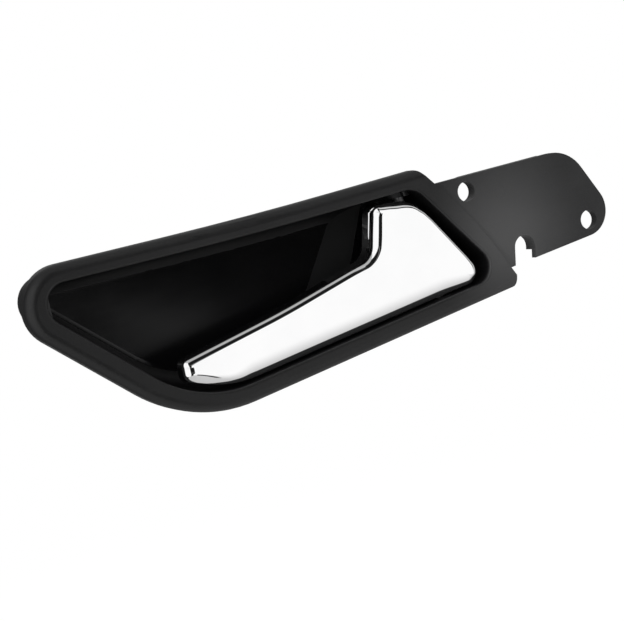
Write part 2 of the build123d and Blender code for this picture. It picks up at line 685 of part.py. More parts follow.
with BuildPart() as lever_carrier:
    # Plate inside the shell's back
    add(lever_block(LEVER_WALL + FIT_GAP, CARRIER_INSET, 0.0))
    split(bisect_by=lever_back_plane.offset(-CARRIER_INSET - CARRIER_T), keep=Keep.TOP)
    # Room for the return spring between the hinge knuckles
    with BuildSketch(hinge.offset(KNUCKLE_LOW_TOP)):
        Circle(KNUCKLE_R + 2 * SPRING_WIRE_R)
    extrude(amount=KNUCKLE_HIGH - KNUCKLE_LOW_TOP, mode=Mode.SUBTRACT)
    # Hinge knuckles
    with BuildSketch(hinge.offset(KNUCKLE_LOW)):
        Circle(KNUCKLE_R)
    extrude(amount=KNUCKLE_LOW_TOP - KNUCKLE_LOW)
    with BuildSketch(hinge.offset(KNUCKLE_HIGH)):
        Circle(KNUCKLE_R)
    extrude(amount=KNUCKLE_HIGH_TOP - KNUCKLE_HIGH)
    # Seat for the spring's leg in front of the plate
    with BuildSketch(hinge.offset(spring_high - SPRING_POST_T / 2)):
        with Locations((-SPRING_LEG, SPRING_WIRE_R + STOP_GAP - SPRING_R)):
            Rectangle(SPRING_POST_T * 2, SPRING_R, align=(Align.MIN, Align.MIN))
    extrude(amount=SPRING_POST_T)
    # Cable arm with a slot for the wire and a seat for its end
    with BuildSketch(hinge.offset(CABLE_ARM_AT - CABLE_ARM_T / 2)):
        Rectangle(CABLE_ARM_W, CABLE_ARM_REACH, align=(Align.CENTER, Align.MIN))
    extrude(amount=CABLE_ARM_T)
    with BuildSketch(hinge.offset(CABLE_ARM_AT - WIRE_SLOT / 2)):
        with Locations((0, CABLE_ARM_REACH - WIRE_SLOT_DEPTH)):
            Rectangle(2 * CABLE_ARM_W, 2 * WIRE_SLOT_DEPTH, align=(Align.CENTER, Align.MIN))
    extrude(amount=WIRE_SLOT, mode=Mode.SUBTRACT)
    # Bore for the hinge pin, with room round it where it runs bare
    with BuildSketch(hinge.offset(pin_low)):
        Circle(PIN_R)
    extrude(amount=pin_top - pin_low, mode=Mode.SUBTRACT)
    with BuildSketch(hinge.offset(KNUCKLE_HIGH_TOP)):
        Circle(PIN_R + FIT_GAP)
        Rectangle(2 * (PIN_R + FIT_GAP), LEVER_BACK, align=Align.CENTER)
    extrude(amount=pin_top - KNUCKLE_HIGH_TOP, mode=Mode.SUBTRACT)
    with BuildSketch(hinge.offset(KNUCKLE_LOW)):
        Circle(PIN_R + FIT_GAP)
        Rectangle(2 * (PIN_R + FIT_GAP), LEVER_BACK, align=Align.CENTER)
    extrude(amount=pin_low - KNUCKLE_LOW, mode=Mode.SUBTRACT)
    # Screw holes with flat seats for the heads
    for x, z in screw_places:
        with BuildSketch(Plane.XZ):
            with Locations((x, z)):
                Circle(CARRIER_SCREW_R + FIT_GAP)
        extrude(amount=-LEVER_BACK * 2, mode=Mode.SUBTRACT)
        with BuildSketch(Plane.XZ.offset(-screw_seat_at(x))):
            with Locations((x, z)):
                Circle(SCREW_HEAD_R + FIT_GAP)
        extrude(amount=-LEVER_BACK, mode=Mode.SUBTRACT)
lever_carrier.part.label = "lever_carrier"
export_step(lever_carrier.part, "parts/lever_carrier.step")

with BuildPart() as carrier_screws:
    for x, z in screw_places:
        with BuildSketch(Plane.XZ.offset(-screw_seat_at(x))):
            with Locations((x, z)):
                Circle(SCREW_HEAD_R)
        extrude(amount=-SCREW_HEAD_T)
        with BuildSketch(Plane.XZ.offset(-(skin_back + 2 * FIT_GAP))):
            with Locations((x, z)):
                Circle(CARRIER_SCREW_R)
        extrude(amount=-(screw_seat_at(x) - skin_back - 2 * FIT_GAP))
        # Cross slot in the head
        with BuildSketch(Plane.XZ.offset(-(screw_seat_at(x) + SCREW_HEAD_T / 2))):
            with Locations((x, z)):
                Rectangle(SCREW_HEAD_R * 1.3, SCREW_HEAD_R / 3.5)
                Rectangle(SCREW_HEAD_R / 3.5, SCREW_HEAD_R * 1.3)
        extrude(amount=-SCREW_HEAD_T, mode=Mode.SUBTRACT)
carrier_screws.part.label = "carrier_screws"
export_step(carrier_screws.part, "parts/carrier_screws.step")

with BuildPart() as return_spring:
    # Coil round the pin, with a leg to the post on the bowl's floor and one to the carrier's seat
    with BuildLine() as coil:
        turns = Helix(
            spring_pitch,
            spring_high - spring_low,
            SPRING_R,
            center=hinge.offset(spring_low).origin,
            direction=hinge.z_dir,
            lefthand=True,
        )
        floor_leg = Line(turns @ 0 - (turns % 0) * SPRING_LEG, turns @ 0)
        Line(turns @ 1, turns @ 1 + (turns % 1) * SPRING_LEG)
    with BuildSketch(Plane(origin=floor_leg @ 0, z_dir=floor_leg % 0)):
        Circle(SPRING_WIRE_R)
    sweep(path=coil.wires()[0])
return_spring.part.label = "return_spring"
export_step(return_spring.part, "parts/return_spring.step")

with BuildPart() as hinge_pin:
    with BuildSketch(hinge.offset(pin_low)):
        Circle(PIN_R)
    extrude(amount=pin_top - pin_low)
    chamfer(hinge_pin.edges().filter_by(GeomType.CIRCLE), PIN_R / 5)
hinge_pin.part.label = "hinge_pin"
export_step(hinge_pin.part, "parts/hinge_pin.step")
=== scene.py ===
"""Studio scene of a car interior door handle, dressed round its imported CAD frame.

Lengths are metres in the row frame: X runs along the handle towards the screw flange, Y into the
door and Z up. The camera stands where the photograph was taken from.
"""

import logging
import math
from dataclasses import astuple, dataclass
from enum import Enum

import bmesh
import bpy
from mathutils import Matrix, Vector


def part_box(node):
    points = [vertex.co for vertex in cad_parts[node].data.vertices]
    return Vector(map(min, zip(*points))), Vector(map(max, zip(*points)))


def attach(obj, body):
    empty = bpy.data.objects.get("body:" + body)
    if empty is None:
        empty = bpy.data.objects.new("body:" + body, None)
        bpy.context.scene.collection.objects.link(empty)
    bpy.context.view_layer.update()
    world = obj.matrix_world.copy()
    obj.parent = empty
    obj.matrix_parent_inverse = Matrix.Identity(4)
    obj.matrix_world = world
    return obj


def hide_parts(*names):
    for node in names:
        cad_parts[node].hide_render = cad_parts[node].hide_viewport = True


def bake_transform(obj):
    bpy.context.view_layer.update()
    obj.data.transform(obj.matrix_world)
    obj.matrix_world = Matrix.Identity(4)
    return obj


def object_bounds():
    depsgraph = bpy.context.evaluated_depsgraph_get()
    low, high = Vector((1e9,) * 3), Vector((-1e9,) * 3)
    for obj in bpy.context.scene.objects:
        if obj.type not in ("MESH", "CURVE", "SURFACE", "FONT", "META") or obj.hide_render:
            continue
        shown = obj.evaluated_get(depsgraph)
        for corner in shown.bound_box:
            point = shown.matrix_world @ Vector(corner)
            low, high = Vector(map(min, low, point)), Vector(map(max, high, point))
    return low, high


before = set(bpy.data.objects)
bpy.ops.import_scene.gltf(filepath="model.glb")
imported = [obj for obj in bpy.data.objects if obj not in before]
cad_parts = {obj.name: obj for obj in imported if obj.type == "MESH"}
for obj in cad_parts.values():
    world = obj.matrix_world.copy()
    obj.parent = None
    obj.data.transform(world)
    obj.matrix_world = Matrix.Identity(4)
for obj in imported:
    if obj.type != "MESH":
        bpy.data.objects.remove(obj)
CAD_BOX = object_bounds()

LOG = logging.getLogger("door_handle")
MM = 0.001
OUT_OF_DOOR = (0.0, -1.0, 0.0)

Colour = tuple[float, float, float, float]
Place = tuple[float, float, float]
Span = tuple[float, float]
Node = bpy.types.Node
Socket = bpy.types.NodeSocket
Tree = bpy.types.NodeTree


class Body(Enum):
    """The CAD bodies that pieces ride on."""

    HOUSING = "housing"
    LEVER = "lever"


class Slot(Enum):
    """The record's material slots for the spring and the chrome."""

    SPRING = "spring_steel"
    CHROME = "lever_chrome"


def grey(level: float) -> Colour:
    """Gives an even grey."""
    return (level, level, level, 1.0)


class Graph:
    """A short way to add and join shader nodes in one tree.

    The two tuples say where a Mix node of each kind has its factor, both inputs and its result.
    """

    NUMBER_SOCKETS = (0, 2, 3, 0)
    COLOUR_SOCKETS = (0, 6, 7, 2)

    def __init__(self, tree: Tree) -> None:
        """Keeps the tree."""
        self.tree = tree

    def add(self, kind: str, **settings: object) -> Node:
        """Adds a node and sets its properties.

        Args:
            kind: The node's type, without the ShaderNode prefix.
            **settings: Properties of the node.

        Returns:
            The new node.
        """
        node = self.tree.nodes.new("ShaderNode" + kind)
        for name, value in settings.items():
            setattr(node, name, value)
        return node

    def feed(self, socket: Socket, value: object) -> None:
        """Links an output to a socket, or sets the socket to a plain value.

        Args:
            socket: The input socket.
            value: An output socket or a number, tuple or vector.
        """
        if isinstance(value, Socket):
            self.tree.links.new(value, socket)
        else:
            socket.default_value = value

    def fill(self, node: Node, values: dict[int | str, object]) -> Node:
        """Feeds several inputs of a node.

        Args:
            node: The node.
            values: A socket or a plain value for each input's place or name.

        Returns:
            The same node.
        """
        for key, value in values.items():
            self.feed(node.inputs[key], value)
        return node

    def math(self, operation: str, *values: object) -> Socket:
        """Adds a math node and feeds its inputs in order."""
        return self.fill(self.add("Math", operation=operation), dict(enumerate(values))).outputs[0]

    def vector(self, operation: str, *values: object) -> Node:
        """Adds a vector math node and feeds its inputs in order."""
        return self.fill(self.add("VectorMath", operation=operation), dict(enumerate(values)))

    def ramp(self, value: object, low: float, high: float, start: float = 0.0, end: float = 1.0) -> Socket:
        """Maps a value smoothly from one range to another.

        Args:
            value: The output to map.
            low: Value that gives start.
            high: Value that gives end.
            start: Result at low and before it.
            end: Result at high and past it.

        Returns:
            The mapped output.
        """
        node = self.add("MapRange", interpolation_type="SMOOTHSTEP")
        self.fill(node, {"Value": value, "From Min": low, "From Max": high, "To Min": start, "To Max": end})
        return node.outputs["Result"]

    def add_mix(self, kind: str, sockets: tuple[int, ...], *values: object) -> Socket:
        """Adds a mix node.

        Args:
            kind: The node's data type.
            sockets: Where its factor, both inputs and its result are.
            *values: The factor and both inputs.

        Returns:
            The result.
        """
        *inputs, result = sockets
        return self.fill(self.add("Mix", data_type=kind), dict(zip(inputs, values))).outputs[result]

    def mix(self, factor: object, first: object, second: object) -> Socket:
        """Mixes two colours, with the factor as the share of the second."""
        return self.add_mix("RGBA", self.COLOUR_SOCKETS, factor, first, second)

    def blend(self, factor: object, first: object, second: object) -> Socket:
        """Mixes two numbers, with the factor as the share of the second."""
        return self.add_mix("FLOAT", self.NUMBER_SOCKETS, factor, first, second)

    def noise(self, vector: object, scale: object, detail: float = 2.0, roughness: float = 0.5) -> Socket:
        """Adds a noise texture.

        Args:
            vector: Where it is read.
            scale: Cells per metre.
            detail: Octaves.
            roughness: Share that each octave keeps.

        Returns:
            The noise value, from 0 to 1.
        """
        node = self.add("TexNoise")
        self.fill(node, {"Vector": vector, "Scale": scale, "Detail": detail, "Roughness": roughness})
        return node.outputs["Fac"]

    def group(self, tree: Tree, **values: object) -> Node:
        """Places a node group and feeds its inputs by name."""
        return self.fill(self.add("Group", node_tree=tree), values)


def group_tree(name: str, inputs: dict[str, float], outputs: tuple[str, ...]) -> tuple[Graph, Node, Node]:
    """Starts a shader node group with number sockets and a Vector input.

    Args:
        name: The group's name.
        inputs: Number inputs with their defaults.
        outputs: Number outputs.

    Returns:
        The graph, the group's input node and its output node.
    """
    tree = bpy.data.node_groups.new(name, "ShaderNodeTree")
    tree.interface.new_socket("Vector", in_out="INPUT", socket_type="NodeSocketVector")
    for key, value in inputs.items():
        socket = tree.interface.new_socket(key, in_out="INPUT", socket_type="NodeSocketFloat")
        socket.default_value = value
    for key in outputs:
        tree.interface.new_socket(key, in_out="OUTPUT", socket_type="NodeSocketFloat")
    source = tree.nodes.new("NodeGroupInput")
    sink = tree.nodes.new("NodeGroupOutput")
    return Graph(tree), source, sink


class Effects:
    """Shader node groups that several finishes share."""

    STREAK_STRETCH = (0.25, 1.0, 1.6)
    STREAK_FINENESS = 9.0

    def __init__(self) -> None:
        """Builds each group once."""
        self.grain = self.build_grain()
        self.handling = self.build_handling()
        self.edges = self.build_edges()

    @staticmethod
    def build_grain() -> Tree:
        """Builds the fine spark-eroded grain of a moulded face.

        Returns:
            The group's tree.
        """
        graph, source, sink = group_tree("moulded_grain", {"Scale": 1800.0}, ("Height", "Speckle"))
        point, scale = source.outputs["Vector"], source.outputs["Scale"]
        coarse = graph.noise(point, scale, detail=3.0, roughness=0.6)
        cells = graph.add("TexVoronoi", feature="SMOOTH_F1")
        graph.fill(cells, {"Vector": point, "Scale": scale})
        height = graph.blend(factor=0.5, first=coarse, second=cells.outputs["Distance"])
        graph.feed(sink.inputs["Height"], height)
        graph.feed(sink.inputs["Speckle"], graph.ramp(coarse, low=0.35, high=0.7))
        return graph.tree

    def build_handling(self) -> Tree:
        """Builds soft patches and streaks where a surface has been wiped or touched.

        Returns:
            The group's tree.
        """
        graph, source, sink = group_tree("handling_marks", {"Scale": 45.0}, ("Patch", "Streak"))
        point, scale = source.outputs["Vector"], source.outputs["Scale"]
        patch = graph.noise(point, scale, detail=4.0, roughness=0.55)
        stretched = graph.vector("MULTIPLY", point, self.STREAK_STRETCH).outputs["Vector"]
        streak = graph.noise(stretched, graph.math("MULTIPLY", scale, self.STREAK_FINENESS))
        graph.feed(sink.inputs["Patch"], graph.ramp(patch, low=0.3, high=0.72))
        graph.feed(sink.inputs["Streak"], graph.ramp(streak, low=0.4, high=0.75))
        return graph.tree

    @staticmethod
    def build_edges() -> Tree:
        """Builds a mask of the rubbed edges.

        Returns:
            The group's tree.
        """
        graph, source, sink = group_tree("rubbed_edges", {"Radius": 0.4 * MM, "Scale": 300.0}, ("Edge",))
        rounded = graph.add("Bevel", samples=4)
        graph.feed(rounded.inputs["Radius"], source.outputs["Radius"])
        true = graph.add("NewGeometry").outputs["Normal"]
        bend = graph.vector("DOT_PRODUCT", rounded.outputs["Normal"], true).outputs["Value"]
        edge = graph.ramp(bend, low=0.995, high=0.9)
        cloud = graph.noise(source.outputs["Vector"], source.outputs["Scale"])
        patchy = graph.ramp(cloud, low=0.3, high=0.7)
        graph.feed(sink.inputs["Edge"], graph.math("MULTIPLY", edge, patchy))
        return graph.tree


def start_material(name: str) -> tuple[bpy.types.Material, Graph, Node, Socket]:
    """Starts a node material with a principled shader and object coordinates.

    Args:
        name: The material's name.

    Returns:
        The material, its graph, the shader node and the coordinate output.
    """
    material = bpy.data.materials.new(name)
    material.use_nodes = True
    graph = Graph(material.node_tree)
    shader = next(n for n in material.node_tree.nodes if n.type == "BSDF_PRINCIPLED")
    return material, graph, shader, graph.add("TexCoord").outputs["Object"]


def add_bump(graph: Graph, shader: Node, height: Socket, strength: float, distance: float) -> Node:
    """Joins a height to the shader's normal.

    Args:
        graph: The material's graph.
        shader: Its principled shader.
        height: The height output.
        strength: Share of the bump that shows.
        distance: Height of the relief in metres.

    Returns:
        The bump node.
    """
    bump = graph.add("Bump")
    graph.fill(bump, {"Height": height, "Strength": strength, "Distance": distance})
    graph.feed(shader.inputs["Normal"], bump.outputs["Normal"])
    return bump


@dataclass(frozen=True)
class PaintedHighlight:
    """A painted highlight on the moulding that fades out from one place."""

    place: Place = (-10.0 * MM, 0.5 * MM, -7.0 * MM)
    reach: float = 34.0 * MM
    flange_share: float = 0.85
    bezel_share: float = 0.9

    def mask(self, graph: Graph, point: Socket) -> Socket:
        """Adds a mask that falls from 1 at the place to 0 at the reach."""
        away = graph.vector("DISTANCE", point, self.place).outputs["Value"]
        return graph.ramp(away, 0.0, self.reach, start=1.0, end=0.0)


@dataclass(frozen=True)
class EjectorMark:
    """A shallow ring that an ejector pin left in the moulding, its depth in heights of the relief."""

    place: Place = (-10.2 * MM, 0.5 * MM, 7.0 * MM)
    radius: float = 2.0 * MM
    edge: Span = (0.05 * MM, 0.25 * MM)
    depth: float = 1.5

    def ring(self, graph: Graph, point: Socket) -> Socket:
        """Adds a mask of the ring.

        Args:
            graph: The material's graph.
            point: The coordinate output.

        Returns:
            1 on the ring and 0 off it.
        """
        away = graph.vector("DISTANCE", point, self.place).outputs["Value"]
        off_ring = graph.math("ABSOLUTE", graph.math("SUBTRACT", away, self.radius))
        return graph.ramp(off_ring, *self.edge, start=1.0, end=0.0)


@dataclass(frozen=True)
class FloorLean:
    """A lean of the bowl floor's shading that changes along the floor, as on a slightly curved one."""

    sideways: float = -0.13
    upwards: float = 0.05
    way: Place = (1.0, 0.0, 1.5)
    reach: Span = (-142.0 * MM, -72.0 * MM)
    first_share: float = -0.36

    def tilted(self, graph: Graph, point: Socket, normal: Socket, floor: Socket) -> Socket:
        """Adds the leaning normal.

        Args:
            graph: The material's graph.
            point: The coordinate output.
            normal: The surface's own normal.
            floor: Mask of the bowl's floor.

        Returns:
            The normal, which leans on the floor alone.
        """
        slanted = graph.vector("DOT_PRODUCT", point, self.way).outputs["Value"]
        share = graph.ramp(slanted, *self.reach, start=self.first_share)
        tilt = graph.add("CombineXYZ")
        graph.feed(tilt.inputs["X"], graph.math("MULTIPLY", share, self.sideways))
        graph.feed(tilt.inputs["Z"], self.upwards)
        lean = graph.vector("SCALE", tilt.outputs["Vector"])
        graph.feed(lean.inputs["Scale"], floor)
        leaning = graph.vector("ADD", normal, lean.outputs["Vector"])
        return graph.vector("NORMALIZE", leaning.outputs["Vector"]).outputs["Vector"]


@dataclass(frozen=True)
class Zones:
    """Masks of the housing's flange, of its bowl, and of the faces that look straight out."""

    flange: Socket
    bowl: Socket
    level: Socket


@dataclass(frozen=True)
class HousingFinish:
    """Satin black bezel, glossier bowl and a grained flange on one moulding.

    A painted highlight lightens the flange's inner half and the bezel beside it, and the bowl is painted
    a little darker than the bezel as shade in the recess. The crease between flange and bezel is given
    by the X and Z of a point on it and by its angle from the handle's length.
    """

    bezel_colour: Colour = (0.004, 0.004, 0.0042, 1.0)
    # Painted shade: the bowl is a little darker than the bezel, as its recess would be in shade.
    bowl_shade_colour: Colour = (0.003, 0.003, 0.0034, 1.0)
    flange_colour: Colour = (0.011, 0.011, 0.0114, 1.0)
    # The paler grey that the painted highlight and the handled patches lighten towards.
    highlight_and_patch_colour: Colour = (0.051, 0.051, 0.0516, 1.0)
    speckle_colour: Colour = grey(0.05)
    worn_colour: Colour = grey(0.07)
    speckle_share: float = 0.1
    worn_share: float = 0.12
    bezel_roughness: float = 0.36
    bowl_roughness: float = 0.16
    bowl_wall_roughness: float = 0.5
    flange_roughness: float = 0.55
    patch_roughness: float = 0.07
    streak_roughness: float = 0.03
    gloss: float = 0.42
    marks_scale: float = 38.0
    edge_scale: float = 400.0
    edge_radius: float = 0.35 * MM
    grain_scale: float = 2600.0
    bezel_grain: float = 0.25
    relief: float = 0.03 * MM
    relief_strength: float = 0.5
    crease: Span = (-21.5 * MM, 0.4 * MM)
    crease_angle: float = math.radians(-55.0)
    crease_edge: Span = (-0.4 * MM, 0.6 * MM)
    bowl_start: Span = (0.3 * MM, 2.5 * MM)
    floor_facing: Span = (0.975, 0.99)
    painted_highlight: PaintedHighlight = PaintedHighlight()
    ejector: EjectorMark = EjectorMark()
    lean: FloorLean = FloorLean()

    def zones(self, graph: Graph, point: Socket, normal: Socket) -> Zones:
        """Adds the masks of the housing's parts.

        Args:
            graph: The material's graph.
            point: The coordinate output.
            normal: The surface's own normal.

        Returns:
            The masks.
        """
        on_crease = (self.crease[0], 0.0, self.crease[1])
        across = (-math.sin(self.crease_angle), 0.0, math.cos(self.crease_angle))
        from_crease = graph.vector("SUBTRACT", point, on_crease).outputs["Vector"]
        past_crease = graph.vector("DOT_PRODUCT", from_crease, across).outputs["Value"]
        flange = graph.ramp(past_crease, *self.crease_edge)
        split = graph.add("SeparateXYZ")
        graph.feed(split.inputs[0], point)
        inside = graph.ramp(split.outputs["Y"], *self.bowl_start)
        bowl = graph.math("MULTIPLY", inside, graph.math("SUBTRACT", 1.0, flange))
        facing = graph.vector("DOT_PRODUCT", normal, OUT_OF_DOOR).outputs["Value"]
        return Zones(flange, bowl, graph.ramp(facing, *self.floor_facing))

    def colour(self, graph: Graph, zones: Zones, painted_highlight: Socket, patch: Socket, speckle: Socket) -> Socket:
        """Adds the plastic's colour before wear, with a painted highlight on the flange and the bezel
        beside it, and painted shade in the bowl.

        Args:
            graph: The material's graph.
            zones: The masks of the housing's parts.
            painted_highlight: Mask of the painted highlight.
            patch: Mask of the handled patches.
            speckle: Mask of the grain's peaks.

        Returns:
            The colour.
        """
        # On the flange, the painted highlight and the handled patches lighten the grey.
        patchy = graph.math("MULTIPLY", patch, 1.0 - self.painted_highlight.flange_share)
        pale = graph.math("MULTIPLY_ADD", painted_highlight, self.painted_highlight.flange_share, patchy)
        flange = graph.mix(pale, self.flange_colour, self.highlight_and_patch_colour)
        # On the bezel beside the flange, the painted highlight alone lightens the grey.
        bezel_highlight = graph.math("MULTIPLY", painted_highlight, self.painted_highlight.bezel_share)
        bezel = graph.mix(bezel_highlight, self.bezel_colour, self.highlight_and_patch_colour)
        # The bowl is painted darker than the bezel, as shade in the recess.
        body = graph.mix(zones.bowl, bezel, self.bowl_shade_colour)
        whole = graph.mix(zones.flange, body, flange)
        peaks = graph.math("MULTIPLY", speckle, self.speckle_share)
        speckled = graph.mix(peaks, whole, self.speckle_colour)
        # The bowl's painted shade also covers the speckles there.
        return graph.mix(zones.bowl, speckled, self.bowl_shade_colour)

    def roughness(self, graph: Graph, zones: Zones, marks: Node) -> Socket:
        """Adds the roughness of each part, with wiped patches and streaks.

        Args:
            graph: The material's graph.
            zones: The masks of the housing's parts.
            marks: The placed group of handling marks.

        Returns:
            The roughness.
        """
        lining = graph.blend(zones.level, self.bowl_wall_roughness, self.bowl_roughness)
        smooth = graph.blend(zones.bowl, self.bezel_roughness, lining)
        rough = graph.blend(zones.flange, smooth, self.flange_roughness)
        wiped = graph.math("MULTIPLY_ADD", marks.outputs["Patch"], self.patch_roughness, rough)
        return graph.math("MULTIPLY_ADD", marks.outputs["Streak"], self.streak_roughness, wiped)

    def build(self, effects: Effects) -> bpy.types.Material:
        """Builds the material.

        Args:
            effects: The shared groups.

        Returns:
            The material.
        """
        material, graph, shader, point = start_material("housing_moulding")
        shader.inputs["Specular IOR Level"].default_value = self.gloss
        normal = graph.add("NewGeometry").outputs["Normal"]
        zones = self.zones(graph, point, normal)
        marks = graph.group(effects.handling, Vector=point, Scale=self.marks_scale)
        grain = graph.group(effects.grain, Vector=point, Scale=self.grain_scale)
        edges = graph.group(effects.edges, Vector=point, Radius=self.edge_radius, Scale=self.edge_scale)
        # Painted highlight round the middle of the flange, spreading onto the bezel.
        painted_highlight = self.painted_highlight.mask(graph, point)
        colour = self.colour(graph, zones, painted_highlight, marks.outputs["Patch"], grain.outputs["Speckle"])
        worn = graph.math("MULTIPLY", edges.outputs["Edge"], self.worn_share)
        graph.feed(shader.inputs["Base Color"], graph.mix(worn, colour, self.worn_colour))
        graph.feed(shader.inputs["Roughness"], self.roughness(graph, zones, marks))
        grain_share = graph.blend(zones.flange, self.bezel_grain, 1.0)
        grained = graph.math("MULTIPLY", grain.outputs["Height"], grain_share)
        ring = self.ejector.ring(graph, point)
        height = graph.math("MULTIPLY_ADD", ring, -self.ejector.depth, grained)
        bump = add_bump(graph, shader, height, self.relief_strength, self.relief)
        floor = graph.math("MULTIPLY", zones.bowl, zones.level)
        graph.feed(bump.inputs["Normal"], self.lean.tilted(graph, point, normal, floor))
        return material


@dataclass(frozen=True)
class ChromeFinish:
    """Bright plating with a faint orange peel and finger smudges."""

    colour: Colour = grey(0.98)
    smudge_colour: Colour = (0.94, 0.94, 0.945, 1.0)
    smudge_share: float = 0.5
    smudge_scale: float = 60.0
    roughness: float = 0.035
    smudge_roughness: float = 0.03
    peel_scale: float = 420.0
    peel_height: float = 0.02 * MM
    peel_strength: float = 0.04

    def build(self, effects: Effects) -> bpy.types.Material:
        """Builds the material.

        Args:
            effects: The shared groups.

        Returns:
            The material.
        """
        material, graph, shader, point = start_material("bright_plating")
        shader.inputs["Metallic"].default_value = 1.0
        patch = graph.group(effects.handling, Vector=point, Scale=self.smudge_scale).outputs["Patch"]
        smudge = graph.math("MULTIPLY", patch, self.smudge_share)
        graph.feed(shader.inputs["Base Color"], graph.mix(smudge, self.colour, self.smudge_colour))
        rough = graph.math("MULTIPLY_ADD", patch, self.smudge_roughness, self.roughness)
        graph.feed(shader.inputs["Roughness"], rough)
        peel = graph.noise(point, self.peel_scale, detail=1.0, roughness=0.4)
        add_bump(graph, shader, peel, self.peel_strength, self.peel_height)
        return material


@dataclass(frozen=True)
class MouldedFinish:
    """A plain dark moulding with fine grain and rubbed edges."""

    name: str
    colour: Colour
    worn_colour: Colour
    roughness: float
    grain_scale: float
    relief: float
    relief_strength: float = 0.5
    marks_scale: float = 70.0
    patch_roughness: float = 0.1
    speckle_share: float = 0.1
    edge_share: float = 0.4
    edge_scale: float = 350.0
    edge_radius: float = 0.3 * MM

    def build(self, effects: Effects) -> bpy.types.Material:
        """Builds the material.

        Args:
            effects: The shared groups.

        Returns:
            The material.
        """
        material, graph, shader, point = start_material(self.name)
        grain = graph.group(effects.grain, Vector=point, Scale=self.grain_scale)
        marks = graph.group(effects.handling, Vector=point, Scale=self.marks_scale)
        edges = graph.group(effects.edges, Vector=point, Radius=self.edge_radius, Scale=self.edge_scale)
        speckle = graph.math("MULTIPLY", grain.outputs["Speckle"], self.speckle_share)
        worn = graph.math("MULTIPLY_ADD", edges.outputs["Edge"], self.edge_share, speckle)
        graph.feed(shader.inputs["Base Color"], graph.mix(worn, self.colour, self.worn_colour))
        rough = graph.math("MULTIPLY_ADD", marks.outputs["Patch"], self.patch_roughness, self.roughness)
        graph.feed(shader.inputs["Roughness"], rough)
        add_bump(graph, shader, grain.outputs["Height"], self.relief_strength, self.relief)
        return material


@dataclass(frozen=True)
class MetalFinish:
    """Drawn, plated or ground steel with fine lines, which line_scale gives as cells per metre."""

    name: str
    colour: Colour
    dull_colour: Colour
    roughness: float
    line_scale: Place
    line_roughness: float = 0.16
    line_depth: float = 0.01 * MM
    line_strength: float = 0.25
    marks_scale: float = 180.0

    def build(self, effects: Effects) -> bpy.types.Material:
        """Builds the material.

        Args:
            effects: The shared groups.

        Returns:
            The material.
        """
        material, graph, shader, point = start_material(self.name)
        shader.inputs["Metallic"].default_value = 1.0
        patch = graph.group(effects.handling, Vector=point, Scale=self.marks_scale).outputs["Patch"]
        stretched = graph.vector("MULTIPLY", point, self.line_scale).outputs["Vector"]
        lines = graph.noise(stretched, scale=1.0, roughness=0.6)
        graph.feed(shader.inputs["Base Color"], graph.mix(patch, self.colour, self.dull_colour))
        rough = graph.math("MULTIPLY_ADD", lines, self.line_roughness, self.roughness)
        graph.feed(shader.inputs["Roughness"], rough)
        add_bump(graph, shader, lines, self.line_strength, self.line_depth)
        return material


CARRIER_MOULDING = MouldedFinish(
    name="carrier_moulding",
    colour=(0.008, 0.008, 0.0085, 1.0),
    worn_colour=grey(0.05),
    roughness=0.45,
    grain_scale=1500.0,
    relief=0.03 * MM,
)
BEARING_PLASTIC = MouldedFinish(
    name="bearing_plastic",
    colour=grey(0.005),
    worn_colour=grey(0.03),
    roughness=0.6,
    grain_scale=2500.0,
    relief=0.01 * MM,
)
BUFFER_RUBBER = MouldedFinish(
    name="buffer_rubber",
    colour=grey(0.015),
    worn_colour=grey(0.05),
    roughness=0.75,
    grain_scale=1800.0,
    relief=0.04 * MM,
)
SPRING_WIRE = MetalFinish(
    name="spring_wire",
    colour=(0.5, 0.49, 0.47, 1.0),
    dull_colour=(0.36, 0.35, 0.33, 1.0),
    roughness=0.28,
    line_scale=(300.0, 300.0, 4000.0),
)
ZINC_PLATE = MetalFinish(
    name="zinc_plate",
    colour=(0.66, 0.66, 0.64, 1.0),
    dull_colour=(0.5, 0.5, 0.49, 1.0),
    roughness=0.3,
    line_scale=(3000.0, 3000.0, 3000.0),
)
GROUND_STEEL = MetalFinish(
    name="ground_steel",
    colour=(0.3, 0.3, 0.305, 1.0),
    dull_colour=grey(0.2),
    roughness=0.45,
    line_scale=(600.0, 600.0, 6000.0),
)


def dress(material: bpy.types.Material, *nodes: str) -> None:
    """Gives CAD nodes their material.

    Args:
        material: The material for all their slots.
        *nodes: The nodes' names.
    """
    for node in nodes:
        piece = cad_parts[node]
        if not piece.material_slots:
            piece.data.materials.append(material)
        for slot in piece.material_slots:
            slot.material = material
        LOG.info("dressed %s with %s", node, material.name)


@dataclass(frozen=True)
class Side:
    """A straight side of the lever's outline: a point on it, its slope and the round where it starts.

    Lengths are millimetres and the slope is degrees from the handle's length.
    """

    x: float
    z: float
    slope: float
    round: float

    def meet(self, other: "Side") -> Vector:
        """Finds where this side's line crosses another one.

        Args:
            other: The other side.

        Returns:
            The crossing, in metres at depth 0.
        """
        a, b = math.radians(self.slope), math.radians(other.slope)
        across = (other.x - self.x) * math.sin(b) - (other.z - self.z) * math.cos(b)
        along = across / math.sin(b - a)
        return Vector((self.x + along * math.cos(a), 0.0, self.z + along * math.sin(a))) * MM


@dataclass(frozen=True)
class Station:
    """A place on the lever's outline where the section of its edge is set, in millimetres and degrees.

    The face bends over by a radius until it has turned, runs on as a flat bevel, and a bead may stand
    on the wall behind it.
    """

    x: float
    z: float
    round: float
    turn: float = 90.0
    bevel: float = 0.0
    bead: float = 0.0

    def toward(self, other: "Station", share: float) -> "Station":
        """Mixes this section with another one."""
        return Station(*((1.0 - share) * a + share * b for a, b in zip(astuple(self), astuple(other))))


